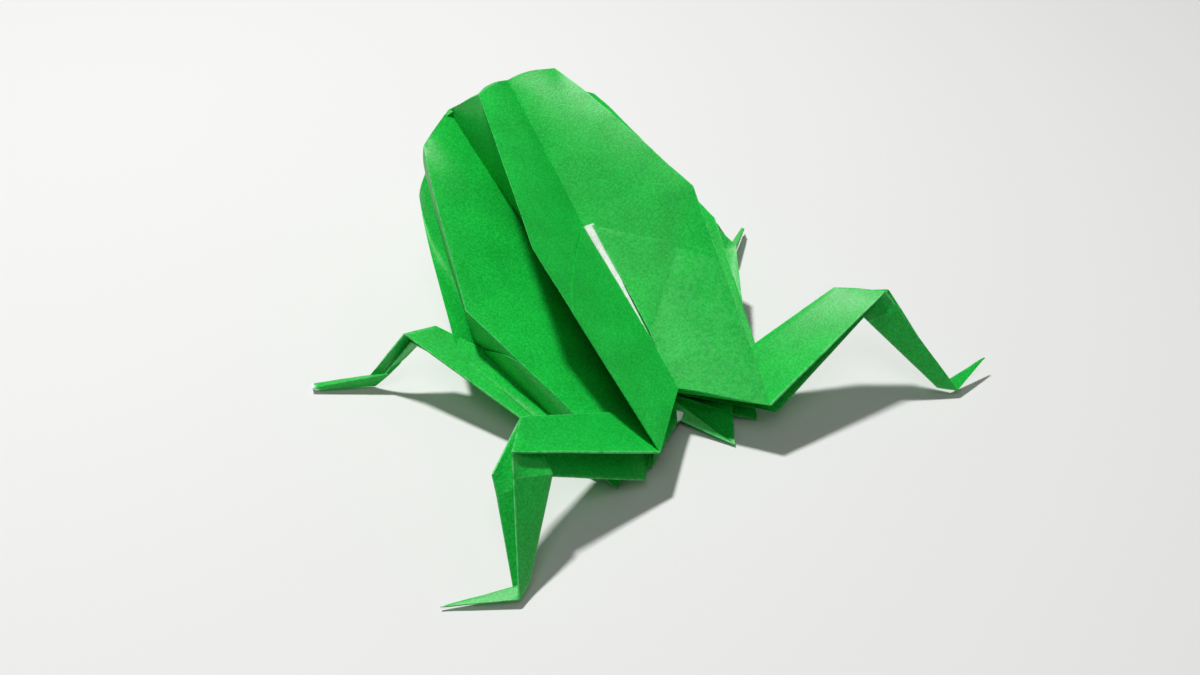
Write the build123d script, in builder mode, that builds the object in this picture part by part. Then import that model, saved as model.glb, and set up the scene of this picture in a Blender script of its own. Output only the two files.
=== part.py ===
from build123d import *
import os

# Sizes in millimetres. The nose points along -Y and the frog stands on Z = 0.
paper = 0.4  # thickness of one panel, a single or a double layer pressed flat
gap = 0.7  # how far a raw edge springs up from the layer below it
slit_width = 1.2  # opening of a slit at its front end
middle = 1.8  # distance from the widest part of the body to the middle of its length

# Corners of one half of the body. Each ring goes from the back to the belly, and takes
# turns between the folded-in lines and the four rays that stand out from them. The two
# halves are alike up to the widest ring, and their hips are pressed down unevenly.
# Behind the hips the sheet turns in again and is pinched shut at the neck.
nose = (0, -28.5, 20.5)
brow_ring = [
    (0, -22.9, 28.8),
    (6.0, -20.8, 29.9),
    (7.9, -22.4, 25.1),
    (13.0, -22.0, 23.5),
    (12.4, -21.0, 20.5),
    (14.8, -20.6, 18.0),
    (10.5, -22.5, 14.0),
    (8.5, -21.0, 9.5),
    (0, -23.0, 9.0),
]
wide_ring = [
    (0, -4.3, 17.3),
    (12.3, 2.2, 22.3),
    (4.8, -3.2, 11.5),
    (18.8, -1.0, 13.2),
    (17.0, -1.6, 6.1),
    (21.4, 0.7, 8.9),
    (12.0, -2.0, 1.5),
    (14.0, 4.5, 0.4),
    (0, 1.5, 3.5),
]
left_hips = [
    (0, 17.5, 5.7),
    (8.0, 25.6, 5.6),
    (3.9, 15.5, 2.2),
    (9.8, 25.4, 1.9),
    (4.2, 16.0, 0.9),
    (12.4, 23.5, 0.3),
    (3.5, 17.6, 0.3),
    (7.0, 22.8, 0.2),
    (0, 18.5, 1.2),
]
right_hips = [
    (0, 17.5, 5.7),
    (8.0, 25.6, 5.6),
    (3.9, 15.5, 2.2),
    (10.6, 24.4, 2.0),
    (4.2, 16.0, 0.9),
    (8.8, 22.9, 0.4),
    (3.5, 17.6, 0.3),
    (3.9, 24.9, 0.2),
    (0, 18.5, 1.2),
]
neck = (0, 14.5, 3.0)

# The snout is blunt: its folds leave the nose almost square to this direction.
snout_axis = (0, -0.88, 0.47)
snout_bluntness = 0.8

# Corners of the legs on their own side: spine, first page and second page at each bend.
left_knee = [(22.7, 19.2, 13.3), (26.6, 24.0, 13.9), (28.7, 23.2, 11.0)]
right_knee = [(22.5, 19.1, 13.2), (26.4, 24.0, 14.2), (28.3, 22.8, 12.9)]
left_calf = [(23.7, 27.5, 12.0), (27.3, 25.4, 11.7), (29.0, 24.5, 9.2)]
right_calf = [(24.0, 24.3, 10.8), (27.7, 25.4, 11.9), (29.2, 24.3, 10.8)]
left_ankle = [(29.0, 31.2, 1.3), (30.9, 32.3, 0.9), (30.7, 30.9, 0.3)]
right_ankle = [(31.4, 31.0, 1.5), (33.8, 32.4, 0.9), (33.6, 31.4, 0.4)]
left_toe = (38.3, 28.3, 0.3)
right_toe = (40.0, 30.7, 2.5)
left_elbow = [(21.1, -4.9, 8.9), (25.3, -5.2, 9.2), (24.8, -4.4, 8.2)]
right_elbow = [(19.5, -4.5, 8.7), (22.3, -4.6, 8.9), (22.0, -3.8, 8.0)]
left_wrist = [(27.3, -6.5, 2.7), (29.0, -8.9, 1.4), (28.8, -7.9, 0.4)]
right_wrist = [(26.0, -5.0, 2.9), (27.4, -7.4, 1.7), (27.2, -6.4, 0.5)]
left_finger = (35.8, -11.7, 0.3)
right_finger = (32.0, -10.4, 1.1)

# How far along a ray the front fold of a slit flap starts, from the widest ring to the hips.
flap_start = 0.318


# One flat piece of paper between its folds.
def panel(*corners):
    points = [Vector(corner) - Vector(0, middle, 0) for corner in corners]
    along = points[1] - points[0]
    upright = along.cross(points[2] - points[0])
    flat = Plane(origin=points[0], x_dir=along, z_dir=upright)
    with BuildSketch(flat) as outline:
        with BuildLine():
            Polyline([flat.to_local_coords(point) for point in points], close=True)
        make_face()
    return extrude(outline.sketch, amount=paper / 2, both=True, mode=Mode.PRIVATE)


# The paper between two fold lines, which bends gently along its diagonals.
def strip(first_fold, second_fold):
    pieces = []
    for i in range(len(first_fold) - 1):
        near, far = first_fold[i], first_fold[i + 1]
        near_across, far_across = second_fold[i], second_fold[i + 1]
        if near != near_across:
            pieces.append(panel(near, far_across, near_across))
        if far != far_across:
            pieces.append(panel(near, far, far_across))
    return pieces


# Half of the outer layer on a slit face. Its raw edge runs along the slit and springs up a little.
# The slit and the rays beside it are each given from the widest ring to the hips.
def slit_flap(slit, ray, other_ray):
    front_fold = [ray[0] + (ray[1] - ray[0]) * flap_start, ray[1]]
    raw_edge = []
    for line, side, other, inset in zip(slit, ray, other_ray, (slit_width / 2, paper / 2)):
        lift = ((side + other) * 0.5 - line).normalized() * gap
        raw_edge.append(line + lift + (side - line).normalized() * inset)
    return strip(front_fold, raw_edge)


# A leg is two pages that share one spine and meet again at the tip.
def leg(root, hips, *bends):
    *joints, tip = bends
    spine = [root] + [joint[0] for joint in joints] + [tip]
    pieces = []
    for page in (1, 2):
        edge = [hips[page - 1]] + [joint[page] for joint in joints] + [tip]
        pieces += strip(spine, edge)
    return pieces


# Halfway between two corners on a curve that leaves the first and reaches the second at these slopes.
def halfway(first, second, leaving, reaching):
    return (first + second) * 0.5 + (leaving - reaching) * 0.125


# A fold line swells from the nose over the brow to the widest ring and then runs to the hips.
def fold_line(brow, wide, hip):
    start, brow, wide, hip, end = [Vector(corner) for corner in (nose, brow, wide, hip, neck)]
    snout_length = (brow - start).length
    flank_length = (wide - brow).length
    axis = Vector(snout_axis).normalized()
    flare = (brow - start) - axis * (brow - start).dot(axis) * snout_bluntness
    over_brow = (wide - start) / (snout_length + flank_length)
    snout = halfway(start, brow, flare.normalized() * snout_length, over_brow * snout_length)
    flank = halfway(brow, wide, over_brow * flank_length, wide - brow)
    return [start, snout, brow, flank, wide, hip, end]


# One side of the frog, drawn on the left.
def half_frog(hips, front_bends, hind_bends):
    folds = [fold_line(*corners) for corners in zip(brow_ring, wide_ring, hips)]
    rear = [fold[-3:-1] for fold in folds]
    pieces = leg(hips[2], [hips[1], hips[3]], *hind_bends)
    pieces += leg(hips[6], [hips[5], hips[7]], *front_bends)
    for slit, ray, other_ray in ((0, 1, 1), (4, 3, 5), (4, 5, 3)):
        pieces += slit_flap(rear[slit], rear[ray], rear[other_ray])
    for ray in (1, 3, 5, 7):
        pieces += strip(folds[ray], folds[ray - 1]) + strip(folds[ray], folds[ray + 1])
    return pieces


left_front = [left_elbow, left_wrist, left_finger]
left_hind = [left_knee, left_calf, left_ankle, left_toe]
right_front = [right_elbow, right_wrist, right_finger]
right_hind = [right_knee, right_calf, right_ankle, right_toe]

with BuildPart() as folded_frog:
    add(half_frog(left_hips, left_front, left_hind))
    mirror(half_frog(right_hips, right_front, right_hind), about=Plane.YZ)

folded_frog.part.label = "folded_frog"
os.makedirs("parts", exist_ok=True)
export_step(folded_frog.part, "parts/folded_frog.step")
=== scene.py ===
import math
import bpy
from mathutils import Matrix, Vector, noise


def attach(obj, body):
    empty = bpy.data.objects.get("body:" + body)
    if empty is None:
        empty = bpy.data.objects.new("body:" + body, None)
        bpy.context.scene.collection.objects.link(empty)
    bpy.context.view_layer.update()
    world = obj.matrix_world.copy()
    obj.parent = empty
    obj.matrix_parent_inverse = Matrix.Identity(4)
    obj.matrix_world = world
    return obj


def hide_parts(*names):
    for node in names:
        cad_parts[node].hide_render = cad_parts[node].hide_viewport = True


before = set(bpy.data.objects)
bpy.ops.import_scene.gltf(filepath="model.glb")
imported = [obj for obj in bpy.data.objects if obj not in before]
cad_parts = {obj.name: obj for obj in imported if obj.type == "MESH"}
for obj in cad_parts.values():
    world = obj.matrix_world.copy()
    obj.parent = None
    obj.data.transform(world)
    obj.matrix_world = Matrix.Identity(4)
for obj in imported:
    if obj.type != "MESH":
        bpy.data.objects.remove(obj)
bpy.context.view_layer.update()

mm = 0.001

paperFinish = {"weldGap": 0.02, "smoothAngle": 28}  # millimetres and degrees


def paperGrid(name, columns, rows, place):
    # a flat grid of paper, with each of its points carried to its place on the folded sheet
    bpy.ops.object.select_all(action="DESELECT")
    bpy.ops.mesh.primitive_grid_add(x_subdivisions=columns, y_subdivisions=rows, size=1)
    sheet = bpy.context.object
    sheet.name = sheet.data.name = name
    wearAndHighlight = sheet.data.attributes.new("foldWearAndHighlight", "FLOAT", "POINT")
    for point in sheet.data.vertices:
        row, column = divmod(point.index, columns + 1)
        point.co, wearAndHighlight.data[point.index].value = place(column, row)
    return sheet


def finishPaper(sheet, material, thickness=0):
    # weld the seams, turn the faces outward and give the paper its thickness
    bpy.ops.object.select_all(action="DESELECT")
    bpy.context.view_layer.objects.active = sheet
    sheet.select_set(True)
    sheet.data.materials.append(material)
    bpy.ops.object.mode_set(mode="EDIT")
    bpy.ops.mesh.select_all(action="SELECT")
    bpy.ops.mesh.remove_doubles(threshold=paperFinish["weldGap"] * mm)
    bpy.ops.mesh.normals_make_consistent(inside=False)
    bpy.ops.object.mode_set(mode="OBJECT")
    if thickness:
        wall = sheet.modifiers.new("paperWall", "SOLIDIFY")
        wall.thickness = thickness * mm
        wall.offset = 0
        bpy.ops.object.modifier_apply(modifier="paperWall")
        bpy.ops.object.mode_set(mode="EDIT")
        bpy.ops.mesh.select_all(action="SELECT")
        bpy.ops.mesh.normals_make_consistent(inside=False)
        bpy.ops.object.mode_set(mode="OBJECT")
    bpy.ops.object.shade_smooth_by_angle(angle=math.radians(paperFinish["smoothAngle"]))
    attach(sheet, "root")
    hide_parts("folded_frog")


# Paper materials. The fold wear attribute of a point is 0 on fresh paper and 1 on rubbed paper. The same
# attribute also carries painted highlights on fold edges and painted light past the right back crease. Above
# 1 the colour has cracked off, down to bare white at 2.

paperLook = {
    "green": (0.008, 0.49, 0.05, 1), "deepGreen": (0.005, 0.42, 0.037, 1),
    "lightGreen": (0.015, 0.57, 0.068, 1), "rubbedAndHighlightGreen": (0.16, 0.70, 0.24, 1),
    "white": (0.82, 0.88, 0.82, 1), "deepWhite": (0.72, 0.80, 0.73, 1), "lightWhite": (0.88, 0.92, 0.88, 1),
    "speckleScale": 3400, "speckleDetail": 3, "speckleStops": (0.36, 0.5, 0.64),
    "cloudScale": 260, "cloudDetail": 3, "cloudStops": (0.3, 0.7), "cloudShade": 0.84,
    "rubAndHighlightScale": 1500, "rubAndHighlightDetail": 2, "rubAndHighlightStops": (0.38, 0.6), "leastRubAndHighlight": 0.1,
    "fibreScale": 5200, "fibreDetail": 4, "fibreBump": 0.25, "fibreHeight": 0.0001,
    "roughness": 0.4, "specular": 0.28,
}


def addNode(tree, kind, place, **sockets):
    node = tree.nodes.new(kind)
    node.location = place
    for socket, value in sockets.items():
        node.inputs[socket].default_value = value
    return node


def feed(tree, source, socket):
    # another node's output is linked, and a plain value is set
    if isinstance(source, bpy.types.NodeSocket):
        tree.links.new(source, socket)
    else:
        socket.default_value = source


def grey(level):
    return level, level, level, 1


def colourRamp(tree, place, source, stops, colours):
    ramp = addNode(tree, "ShaderNodeValToRGB", place)
    points = ramp.color_ramp.elements
    while len(points) < len(stops):
        points.new(0.5)
    for point, position, colour in zip(points, stops, colours):
        point.position, point.color = position, colour
    tree.links.new(source, ramp.inputs["Fac"])
    return ramp.outputs["Color"]


def mixColour(tree, place, factor, first, second, blend="MIX"):
    mix = addNode(tree, "ShaderNodeMix", place)
    mix.data_type = "RGBA"
    mix.blend_type = blend
    feed(tree, factor, mix.inputs["Factor"])
    feed(tree, first, mix.inputs[6])
    feed(tree, second, mix.inputs[7])
    return mix.outputs[2]


def clampedMath(tree, place, operation, first, second):
    node = addNode(tree, "ShaderNodeMath", place)
    node.operation = operation
    node.use_clamp = True
    feed(tree, first, node.inputs[0])
    feed(tree, second, node.inputs[1])
    return node.outputs[0]


def paperMaterial(name, deep, base, light, rubbedAndHighlight):
    look = paperLook
    paper = bpy.data.materials.new(name)
    paper.use_nodes = True
    tree = paper.node_tree
    shader = tree.nodes["Principled BSDF"]
    shader.inputs["Roughness"].default_value = look["roughness"]
    shader.inputs["Specular IOR Level"].default_value = look["specular"]
    spot = addNode(tree, "ShaderNodeTexCoord", (-1300, 0))
    pattern = {}
    for kind, height in (("speckle", 250), ("cloud", 0), ("fibre", -250), ("rubAndHighlight", -500)):
        texture = addNode(tree, "ShaderNodeTexNoise", (-1050, height),
                          Scale=look[kind + "Scale"], Detail=look[kind + "Detail"])
        tree.links.new(spot.outputs["Object"], texture.inputs["Vector"])
        pattern[kind] = texture.outputs["Fac"]
    wearAndHighlight = addNode(tree, "ShaderNodeAttribute", (-800, -700))
    wearAndHighlight.attribute_name = "foldWearAndHighlight"
    # speckles, and cloudy shades over them
    mottle = colourRamp(tree, (-800, 250), pattern["speckle"], look["speckleStops"], (deep, base, light))
    shade = colourRamp(tree, (-800, 0), pattern["cloud"], look["cloudStops"],
                       (grey(look["cloudShade"]), grey(1)))
    tone = mixColour(tree, (-500, 150), 1, mottle, shade, "MULTIPLY")
    # paler where a fold is rubbed, and where a painted highlight or painted light is set, in patches
    patches = colourRamp(tree, (-800, -450), pattern["rubAndHighlight"], look["rubAndHighlightStops"],
                         (grey(look["leastRubAndHighlight"]), grey(1)))
    rubAndHighlight = clampedMath(tree, (-500, -450), "MULTIPLY", wearAndHighlight.outputs["Fac"], patches)
    tone = mixColour(tree, (-250, 100), rubAndHighlight, tone, rubbedAndHighlight)
    # and bare where the colour has cracked off
    bare = clampedMath(tree, (-500, -650), "SUBTRACT", wearAndHighlight.outputs["Fac"], 1)
    tone = mixColour(tree, (-80, 250), bare, tone, look["white"])
    tree.links.new(tone, shader.inputs["Base Color"])
    bump = addNode(tree, "ShaderNodeBump", (-250, -250),
                   Strength=look["fibreBump"], Distance=look["fibreHeight"])
    tree.links.new(pattern["fibre"], bump.inputs["Height"])
    tree.links.new(bump.outputs["Normal"], shader.inputs["Normal"])
    return paper


greenPaper = paperMaterial("greenPaper", paperLook["deepGreen"], paperLook["green"], paperLook["lightGreen"],
                           paperLook["rubbedAndHighlightGreen"])
whitePaper = paperMaterial("whitePaper", paperLook["deepWhite"], paperLook["white"], paperLook["lightWhite"],
                           paperLook["white"])
print("paper")


# The blown-up body, on the same fold corners as the part, in millimetres.
# Even fold lines lie in as pleats, and odd ones stand out as ridges.

foldCount = 16
bodyFolds = {
    "middle": 1.8,  # y of the frog's middle, where the origin is
    "nose": (0, -28.5, 20.5), "neck": (0, 14.5, 3.0),
    "left": {  # fold lines 0 to 8
        "brow": [(0, -22.9, 28.8), (5.5, -20.5, 29.5), (7.4, -25.6, 25.3), (13.0, -22.0, 23.5),
                 (13.3, -21.4, 19.6), (14.5, -21.3, 16.7), (10.5, -22.5, 14.0), (8.5, -21.0, 9.5),
                 (0, -23.0, 9.0)],
        "wide": [(0, -4.3, 17.3), (11.5, 3.0, 22.0), (3.4, -4.6, 10.0), (18.8, -1.0, 13.2),
                 (17.0, -1.6, 6.1), (20.5, -0.6, 7.6), (12.0, -2.0, 1.5), (14.0, 4.5, 0.4),
                 (0, 1.5, 3.5)],
        "hips": [(0, 17.5, 5.7), (8.0, 25.6, 5.6), (3.9, 15.5, 2.2), (9.8, 25.4, 1.9),
                 (11.2, 22.6, 1.0), (12.4, 23.5, 0.3), (3.5, 17.6, 0.3), (7.0, 22.8, 0.2),
                 (0, 18.5, 1.2)],
    },
    "right": {  # fold lines 15 back to 9, written as if on the left
        "brow": [(6.0, -20.8, 29.9), (7.9, -22.4, 25.1), (13.0, -22.0, 23.5), (12.4, -21.0, 20.5),
                 (14.8, -20.6, 18.0), (10.5, -22.5, 14.0), (8.5, -21.0, 9.5)],
        "wide": [(12.3, 2.2, 22.3), (4.8, -3.2, 11.5), (18.8, -1.0, 13.2), (17.0, -1.6, 6.1),
                 (21.4, 0.7, 8.9), (12.0, -2.0, 1.5), (14.0, 4.5, 0.4)],
        "hips": [(7.3, 26.7, 6.6), (3.9, 15.5, 2.2), (10.6, 24.4, 2.0), (4.2, 16.0, 0.9),
                 (8.8, 22.9, 0.4), (3.5, 17.6, 0.3), (3.9, 24.9, 0.2)],
    },
    "snoutAxis": (0, -0.88, 0.47), "snoutBluntness": 0.8, "snoutFill": 0.9, "snoutCrown": 0.65,
    "swell": 0.3,
    "bulge": [0.5, 0.1, 0.4, 0.2, 0.2, 0.3, 0.3, 0.3],  # of the sectors, from the back down to the belly
    "bendWidth": 0.28,
    "creaseSector": 15, "creaseEnd": 0.72, "creaseDip": 0.9,
    "crestSector": 2, "crest": 0.75, "crestLies": 0.55, "crestWidth": 0.2,
    "buckle": 0.14, "buckleScale": 0.22, "fineBuckle": 0.4, "fineScale": 3,
    "acrossSteps": [0, 0.012, 0.06, 0.16, 0.28, 0.42, 0.58, 0.72, 0.84, 0.94, 0.988],
    "rows": {"snout": 10, "chest": 24, "rump": 24, "neck": 5}, "probe": 0.01,
    # ridge lines: rubbed wear plus a painted highlight where the folds catch the light
    "ridgeWearAndHighlight": 0.8, "hipWear": 0.7,
}


def placed(corner, side=1):
    # side -1 mirrors the corner to the right
    x, y, z = corner
    return Vector((x * side, y - bodyFolds["middle"], z))


def foldCorner(ring, fold):
    # fold lines 0 to 8 go round the left side and 9 to 15 back up the right one
    fold = fold % foldCount
    if ring in ("nose", "neck"):
        return placed(bodyFolds[ring])
    if fold <= foldCount / 2:
        return placed(bodyFolds["left"][ring][fold])
    return placed(bodyFolds["right"][ring][foldCount - 1 - fold], -1)


def hermite(start, end, leaving, reaching, t):
    t2, t3 = t * t, t * t * t
    return (start * (2 * t3 - 3 * t2 + 1) + leaving * (t3 - 2 * t2 + t)
            + end * (3 * t2 - 2 * t3) + reaching * (t3 - t2))


def foldCurve(fold, part, along, filled=True):
    # a fold line's snout runs from nose to brow, its chest to the widest ring, its rump to the hips
    # and its neck in between them, where the body closes
    pleat = fold % 2 == 0
    if filled and part == "snout" and pleat:
        # the pleats are blown nearly flat over the snout
        beside = foldCurve(fold - 1, part, along).lerp(foldCurve(fold + 1, part, along), 0.5)
        fill = bodyFolds["snoutFill"] * math.sin(math.pi * along)
        return foldCurve(fold, part, along, False).lerp(beside, fill)
    rings = ("nose", "brow", "wide", "hips", "neck")
    nose, brow, wide, hip, neck = [foldCorner(ring, fold) for ring in rings]
    first, second, third = (brow - nose).length, (wide - brow).length, (hip - wide).length
    atBrow = (wide - nose) / (first + second)
    atWide = (hip - brow) / (second + third) if pleat else (wide - brow) / second
    if part == "snout":
        axis = Vector(bodyFolds["snoutAxis"]).normalized()
        flare = brow - nose
        flare = flare - axis * flare.dot(axis) * bodyFolds["snoutBluntness"]
        reach = (brow - nose).lerp(atBrow * first, bodyFolds["snoutCrown"])
        return hermite(nose, brow, flare.normalized() * first, reach, along)
    if part == "chest":
        blown = hermite(brow, wide, atBrow * second, atWide * second, along)
        return brow.lerp(wide, along).lerp(blown, bodyFolds["swell"])
    if part == "neck":
        return hip.lerp(neck, along)
    if pleat:
        blown = hermite(wide, hip, atWide * third, hip - wide, along)
        return wide.lerp(hip, along).lerp(blown, bodyFolds["swell"])
    return wide.lerp(hip, along)


def arch(share):
    # 0 at both ends and 1 half way
    return 4 * share * (1 - share)


def fromPleat(sector, share):
    # a share counted from the sector's first fold line, as one from its pleat line, or the way back
    return share if sector % 2 == 0 else 1 - share


def softBend(past, width):
    # 0 before the bend and past after it, rounded over that width
    return (past + math.sqrt(past * past + width * width)) / 2


def bentPanel(pleat, ridge, part, along, toRidge):
    # how far a panel of four corners, bent along its diagonal, stands off a smooth one
    near, far = {"chest": ("brow", "wide"), "rump": ("wide", "hips")}[part]
    twist = (foldCorner(near, pleat) + foldCorner(far, ridge)
             - foldCorner(far, pleat) - foldCorner(near, ridge))
    width = bodyFolds["bendWidth"] * math.sqrt(arch(along) * arch(toRidge))
    return twist * (softBend(along + toRidge - 1, width) - along * toRidge)


def creasedPanel(pleat, ridge, along, toRidge):
    # two pieces that dip to a crease from the ridge's widest corner to a point far down the pleat
    end = bodyFolds["creaseEnd"]
    corner, beside = foldCorner("wide", ridge), foldCorner("wide", pleat)
    low = foldCurve(pleat, "rump", end)
    dip = (corner - beside).cross(low - beside).normalized() * bodyFolds["creaseDip"] * arch(toRidge)
    onCrease = end * (1 - toRidge)
    if along < onCrease:
        high = foldCurve(pleat, "rump", along / (1 - toRidge))
        return high.lerp(corner, toRidge) + dip * along / onCrease
    hips = foldCorner("hips", pleat).lerp(foldCorner("hips", ridge), toRidge)
    past = (along - onCrease) / (1 - onCrease)
    return low.lerp(corner, toRidge).lerp(hips, past) + dip * (1 - past)


def outwardFrom(sector, part, along):
    # the way out of a sector's chord between its two fold lines
    before, after = max(along - bodyFolds["probe"], 0), min(along + bodyFolds["probe"], 1)
    firstStart, firstEnd = foldCurve(sector, part, before), foldCurve(sector, part, after)
    lastStart, lastEnd = foldCurve(sector + 1, part, before), foldCurve(sector + 1, part, after)
    down = firstEnd + lastEnd - firstStart - lastStart
    side = lastStart + lastEnd - firstStart - firstEnd
    return -down.cross(side).normalized()


def bulgeAt(side, part, along, toRidge):
    # the air lifts each panel, less toward nose and hips, and back panels go flat where the slit starts
    fade = {"snout": along, "chest": 1, "rump": 1 - along}
    if side in (0, foldCount - 1):
        fade = {"snout": along, "chest": 1 - along ** 3, "rump": 0}
    bulge = bodyFolds["bulge"][min(side, foldCount - 1 - side)] * fade[part]
    if part == "chest" and side == bodyFolds["crestSector"]:
        # a low crest catches the light across the left upper panel
        away = (along - bodyFolds["crestLies"] * (1 - toRidge)) / bodyFolds["crestWidth"]
        bulge += bodyFolds["crest"] * math.exp(-away * away)
    return bulge * arch(toRidge)


def buckle(spot):
    fine = noise.noise(spot * bodyFolds["buckleScale"] * bodyFolds["fineScale"])
    wave = noise.noise(spot * bodyFolds["buckleScale"]) + bodyFolds["fineBuckle"] * fine
    return Vector((0, 0, wave * bodyFolds["buckle"]))


def bodySurface(sector, part, along, across):
    # a sector lies between the fold lines sector and sector + 1
    pleat, ridge = (sector, sector + 1) if sector % 2 == 0 else (sector + 1, sector)
    toRidge = fromPleat(sector, across)
    side = sector % foldCount
    if part == "rump" and side == bodyFolds["creaseSector"]:
        spot = creasedPanel(pleat, ridge, along, toRidge)
    else:
        spot = foldCurve(pleat, part, along).lerp(foldCurve(ridge, part, along), toRidge)
        if part in ("chest", "rump"):
            spot += bentPanel(pleat, ridge, part, along, toRidge)
    if part != "neck":
        spot += outwardFrom(sector, part, along) * bulgeAt(side, part, along, toRidge)
    return spot + buckle(spot)


def buildBody():
    # the grid's seam lies along the belly's middle, which is fold line 8
    steps = bodyFolds["acrossSteps"]
    rows = [(part, i / count) for part, count in bodyFolds["rows"].items() for i in range(count)]
    rows.append(("neck", 1))

    def place(column, row):
        turn, step = divmod(column, len(steps))
        sector, (part, along) = foldCount // 2 + turn, rows[row]
        spot = bodySurface(sector, part, along, steps[step])
        wearAndHighlight = 0.0
        # ridges are painted paler: partly rubbed, partly a painted highlight
        if step == 0 and sector % 2 == 1 and part != "neck":
            wearAndHighlight = bodyFolds["ridgeWearAndHighlight"]
        if part == "neck" and along == 0:
            wearAndHighlight = bodyFolds["hipWear"]
        return spot * mm, wearAndHighlight

    return paperGrid("bodyShell", foldCount * len(steps), len(rows) - 1, place)


finishPaper(buildBody(), greenPaper)
print("body shell")


# Slit flaps: the outer layer on each slit face of the rump, open along the pleat. White linings lie
# under the slits, and a white corner at the end of the belly.

slitFlaps = {
    "flaps": (("flapTopLeft", 0), ("flapTopRight", 15), ("flapLeftUpper", 3), ("flapLeftLower", 4),
              ("flapRightUpper", 12), ("flapRightLower", 11)),
    "flapPaper": 0.14, "flapStart": 0.318, "startSag": 0.05, "beforeCrease": 0.03,
    "flapRows": 22, "toCrease": [0, 0.1, 0.2, 0.3, 0.4, 0.5, 0.6, 0.7, 0.8, 0.9, 0.985, 1],
    "acrossSteps": [0, 0.02, 0.08, 0.2, 0.3, 0.4, 0.5, 0.6, 0.7, 0.8, 0.9, 0.97, 1],
    "slitWidth": 1.7, "slitEnd": 0.12, "slitCloses": 0.8,
    "lift": 0.28, "springUp": 0.15, "springPower": 6, "probe": 0.02,
    # the front edge value is a painted highlight on the right flap's folded front edge
    "slitWear": 0.6, "frontEdgeHighlight": 0.35, "paintedLightPastCrease": 0.14,
    "linings": (("liningTop", 0), ("liningLeft", 4), ("liningRight", 12)),
    "liningPaper": 0.05, "liningLift": 0.3, "liningWidth": 1.3,
    "liningStart": 0.025, "liningLength": 0.95, "liningRows": 24,
    "cornerPaper": 0.1,
    "cornerPoints": ((-0.25, 18.55, 1.1), (0.35, 18.55, 1.15), (-0.4, 18.7, 2.4), (0.3, 18.2, 2.8)),
}


def outwardAt(sector, along, across):
    probe = slitFlaps["probe"]
    above, below = max(along - probe, 0), min(along + probe, 1)
    left, right = max(across - probe, 0), min(across + probe, 1)
    down = bodySurface(sector, "rump", below, across) - bodySurface(sector, "rump", above, across)
    side = bodySurface(sector, "rump", along, right) - bodySurface(sector, "rump", along, left)
    return -down.cross(side).normalized()


def slitShare(sector, along):
    # half of the slit's width, as a share of the panel's width at its widest corners
    closing = max(1 - along / slitFlaps["slitCloses"], 0)
    half = slitFlaps["slitWidth"] / 2 * closing + slitFlaps["slitEnd"]
    return half / (foldCorner("wide", sector) - foldCorner("wide", sector + 1)).length


def flapAlong(sector, row, toRidge):
    rows, start = slitFlaps["flapRows"], slitFlaps["flapStart"] * toRidge
    if sector != bodyFolds["creaseSector"]:
        return start + (1 - start) * (row / rows)
    # half of the rows lie before the crease, and they crowd at it, which keeps it crisp
    start += slitFlaps["startSag"] * arch(toRidge)
    crease = max(bodyFolds["creaseEnd"] * (1 - toRidge), start + slitFlaps["beforeCrease"])
    if row < rows / 2:
        return start + (crease - start) * slitFlaps["toCrease"][row]
    return 1 - (1 - crease) * slitFlaps["toCrease"][rows - row]


# rubbed slit edges, plus a painted highlight on the right front edge and painted light past the right crease
def flapWearAndPaintedLight(sector, column, row):
    if column == 0:
        return slitFlaps["slitWear"]
    # painted highlight: the right flap's front folded edge is painted paler, where it catches the light
    if sector == bodyFolds["creaseSector"] and row == 0:
        return slitFlaps["frontEdgeHighlight"]
    # painted light: the right flap past its crease is painted lighter, as the facet there turns toward the
    # lamp
    if sector == bodyFolds["creaseSector"] and row >= slitFlaps["flapRows"] / 2:
        return slitFlaps["paintedLightPastCrease"]
    return 0.0


def buildFlap(name, sector):
    steps, rows = slitFlaps["acrossSteps"], slitFlaps["flapRows"]

    def place(column, row):
        slit = slitShare(sector, row / rows)
        toRidge = slit + (1 - slit) * steps[column]
        along, across = flapAlong(sector, row, toRidge), fromPleat(sector, toRidge)
        lift = slitFlaps["lift"] * (1 - toRidge)
        lift += slitFlaps["springUp"] * (1 - toRidge) ** slitFlaps["springPower"]
        spot = bodySurface(sector, "rump", along, across) + outwardAt(sector, along, across) * lift
        return spot * mm, flapWearAndPaintedLight(sector, column, row)

    return paperGrid(name, len(steps) - 1, rows, place)


def buildLining(name, slit):
    # a strip of three columns: one on each side of the slit, and one on its line
    rows = slitFlaps["liningRows"]

    def place(column, row):
        along = slitFlaps["liningStart"] + slitFlaps["liningLength"] * row / rows
        sector = slit - 1 if column == 0 else slit
        toRidge = 0 if column == 1 else slitFlaps["liningWidth"] * slitShare(sector, along)
        spot = bodySurface(sector, "rump", along, fromPleat(sector, toRidge))
        return (spot + outwardAt(sector, along, 0.5) * slitFlaps["liningLift"]) * mm, 0.0

    return paperGrid(name, 2, rows, place)


def buildWhiteCorner(name):
    # the sheet's own corner, turned white side out where the belly ends between the hips
    def place(column, row):
        return placed(slitFlaps["cornerPoints"][2 * row + column]) * mm, 0.0

    return paperGrid(name, 1, 1, place)


for name, sector in slitFlaps["flaps"]:
    finishPaper(buildFlap(name, sector), greenPaper, slitFlaps["flapPaper"])
for name, slit in slitFlaps["linings"]:
    finishPaper(buildLining(name, slit), whitePaper, slitFlaps["liningPaper"])
finishPaper(buildWhiteCorner("whiteCorner"), whitePaper, slitFlaps["cornerPaper"])
print("slit flaps")


# Legs: two pages on one spine, bent by reverse folds. They start at the body's hip corners,
# and right legs are written as if on the left.

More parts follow.
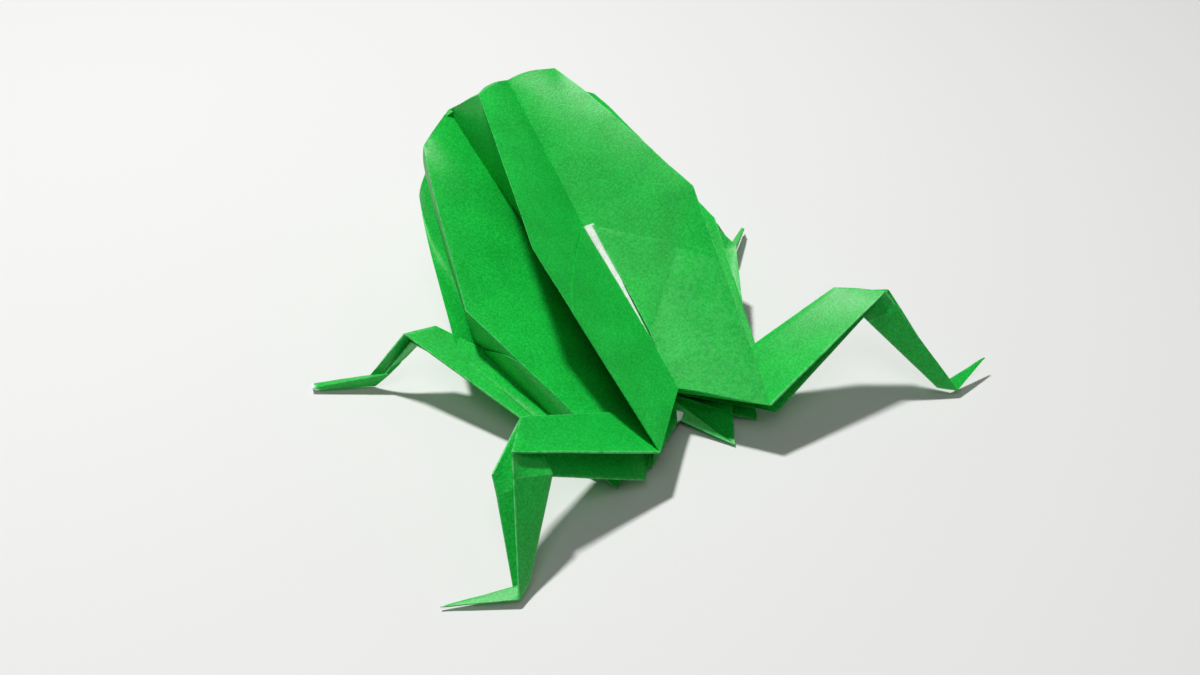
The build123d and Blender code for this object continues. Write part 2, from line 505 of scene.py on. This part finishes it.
legFolds = {
    "hindLegLeft": {
        "side": 1, "hips": {"spine": 2, "first": 1, "second": 3},
        "spine": [(22.7, 19.2, 13.3), (22.6, 25.6, 9.9), (29.0, 31.2, 1.3), (38.3, 28.3, 0.3)],
        "first": [(26.6, 24.0, 13.9), (27.3, 25.4, 11.7), (30.9, 32.3, 0.9), (38.3, 28.3, 0.3)],
        "second": [(28.7, 23.2, 11.0), (29.0, 24.5, 9.2), (30.7, 30.9, 0.3), (38.3, 28.3, 0.3)],
    },
    "hindLegRight": {
        "side": -1, "hips": {"spine": 14, "first": 15, "second": 13},
        "spine": [(22.5, 19.1, 13.2), (24.0, 24.3, 10.8), (31.4, 31.0, 1.5), (40.0, 30.7, 2.5)],
        "first": [(26.4, 24.0, 14.2), (27.7, 25.4, 11.9), (33.8, 32.4, 0.9), (40.0, 30.7, 2.5)],
        "second": [(28.3, 22.8, 12.9), (29.2, 24.3, 10.8), (33.6, 31.4, 0.4), (40.0, 30.7, 2.5)],
    },
    "frontLegLeft": {
        "side": 1, "hips": {"spine": 6, "first": 5, "second": 7},
        "spine": [(21.1, -4.9, 8.9), (27.3, -6.5, 2.7), (35.9, -11.4, 0.6)],
        "first": [(25.3, -5.2, 9.2), (29.0, -8.9, 1.4), (35.6, -12.3, 0.4)],
        "second": [(24.8, -4.4, 8.2), (28.8, -7.9, 0.4), (35.4, -11.2, 0.2)],
    },
    "frontLegRight": {
        "side": -1, "hips": {"spine": 10, "first": 11, "second": 9},
        "spine": [(19.5, -4.5, 8.7), (26.0, -5.0, 2.9), (31.7, -9.9, 1.5)],
        "first": [(22.3, -4.6, 8.9), (27.4, -7.4, 1.7), (32.3, -10.9, 1.0)],
        "second": [(22.0, -3.8, 8.0), (27.2, -6.4, 0.5), (31.9, -10.4, 0.4)],
    },
}
legPaper = {
    "thickness": 0.22, "buckleShare": 0.6,
    "alongSteps": [0, 0.015, 0.1, 0.22, 0.36, 0.5, 0.64, 0.78, 0.9, 0.985],
    "acrossSteps": [0, 0.02, 0.15, 0.4, 0.7, 0.96, 1],
    "edgeWear": 0.6, "bendWear": 0.5, "tipStarts": 0.93, "tipWear": 2.0,
}


def buildLeg(name, leg):
    steps = legPaper["acrossSteps"]
    pages, parts = len(steps) - 1, len(leg["spine"])
    rows = [(part, share) for part in range(parts) for share in legPaper["alongSteps"]] + [(parts - 1, 1)]
    corners = {line: [foldCorner("hips", fold)] + [placed(corner, leg["side"]) for corner in leg[line]]
               for line, fold in leg["hips"].items()}

    def place(column, row):
        # the first page's columns run in to the spine, and the second page's out again
        page, step = ("first", pages - column) if column <= pages else ("second", column - pages)
        part, along = rows[row]
        spine = corners["spine"][part].lerp(corners["spine"][part + 1], along)
        edge = corners[page][part].lerp(corners[page][part + 1], along)
        spot = spine.lerp(edge, steps[step])
        wearAndHighlight = legPaper["edgeWear"] if steps[step] in (0, 1) else 0.0
        if along == 0 and part > 0:
            wearAndHighlight = legPaper["bendWear"]
        if part == parts - 1 and along > legPaper["tipStarts"]:
            wearAndHighlight = legPaper["tipWear"]
        return (spot + buckle(spot) * legPaper["buckleShare"]) * mm, wearAndHighlight

    return paperGrid(name, 2 * pages, len(rows) - 1, place)


for name, leg in legFolds.items():
    finishPaper(buildLeg(name, leg), greenPaper, legPaper["thickness"])
print("legs")


# Floor, lights and camera. Angles are in degrees: azimuth 0 looks along +Y, with +X to the right.

studio = {
    "floorSize": 3, "floorColour": (0.7, 0.7, 0.69, 1), "floorRoughness": 0.9, "floorGap": 0.2,
    # name, azimuth, elevation, size in metres, watts
    "lamps": (("keyLight", 18, 71, 0.04, 2.6), ("backLight", 140, 60, 0.2, 0.3),
              ("fillLight", 257, 40, 0.5, 0.2)),
    "lampDistance": 0.5, "lampAim": (0, 0.005, 0.012), "worldStrength": 0.1,
    "target": (8.9, 12.0, 15.0), "azimuth": 146.57, "elevation": 39.58, "roll": 1.18,
    "distance": 159.0, "focalPixels": 1362.2, "imageWidth": 1200, "sensorWidth": 36, "clipStart": 0.005,
}


def seenFrom(azimuth, elevation):
    # the way from the object to a lamp or camera
    turn, rise = math.radians(azimuth), math.radians(elevation)
    return Vector((math.sin(turn) * math.cos(rise), -math.cos(turn) * math.cos(rise), math.sin(rise)))


def areaLight(name, azimuth, elevation, size, power):
    spot = seenFrom(azimuth, elevation) * studio["lampDistance"]
    bpy.ops.object.select_all(action="DESELECT")
    bpy.ops.object.light_add(type="AREA", location=spot)
    lamp = bpy.context.object
    lamp.name = name
    lamp.data.size = size
    lamp.data.energy = power
    lamp.rotation_euler = (Vector(studio["lampAim"]) - spot).to_track_quat("-Z", "Y").to_euler()


bpy.ops.object.select_all(action="DESELECT")
bpy.ops.mesh.primitive_plane_add(size=studio["floorSize"])
floor = bpy.context.object
floor.name = "floor"
floor.data.transform(Matrix.Translation((0, 0, -studio["floorGap"] * mm)))
floorPaint = bpy.data.materials.new("paleFloor")
floorPaint.use_nodes = True
floorPaint.node_tree.nodes["Principled BSDF"].inputs["Base Color"].default_value = studio["floorColour"]
floorPaint.node_tree.nodes["Principled BSDF"].inputs["Roughness"].default_value = studio["floorRoughness"]
floor.data.materials.append(floorPaint)

for lamp in studio["lamps"]:
    areaLight(*lamp)
world = bpy.data.worlds.new("softWorld")
bpy.context.scene.world = world
world.use_nodes = True
world.node_tree.nodes["Background"].inputs["Color"].default_value = grey(1)
world.node_tree.nodes["Background"].inputs["Strength"].default_value = studio["worldStrength"]

toCamera = seenFrom(studio["azimuth"], studio["elevation"])
bpy.ops.object.select_all(action="DESELECT")
bpy.ops.object.camera_add(location=(Vector(studio["target"]) + toCamera * studio["distance"]) * mm)
camera = bpy.context.object
camera.rotation_euler = (-toCamera).to_track_quat("-Z", "Y").to_euler()
camera.rotation_euler.rotate_axis("Z", math.radians(studio["roll"]))
camera.data.sensor_width = studio["sensorWidth"]
camera.data.lens = studio["sensorWidth"] * studio["focalPixels"] / studio["imageWidth"]
camera.data.clip_start = studio["clipStart"]
bpy.context.scene.camera = camera
bpy.context.scene.view_settings.view_transform = "Standard"
print("floor, lights and camera")
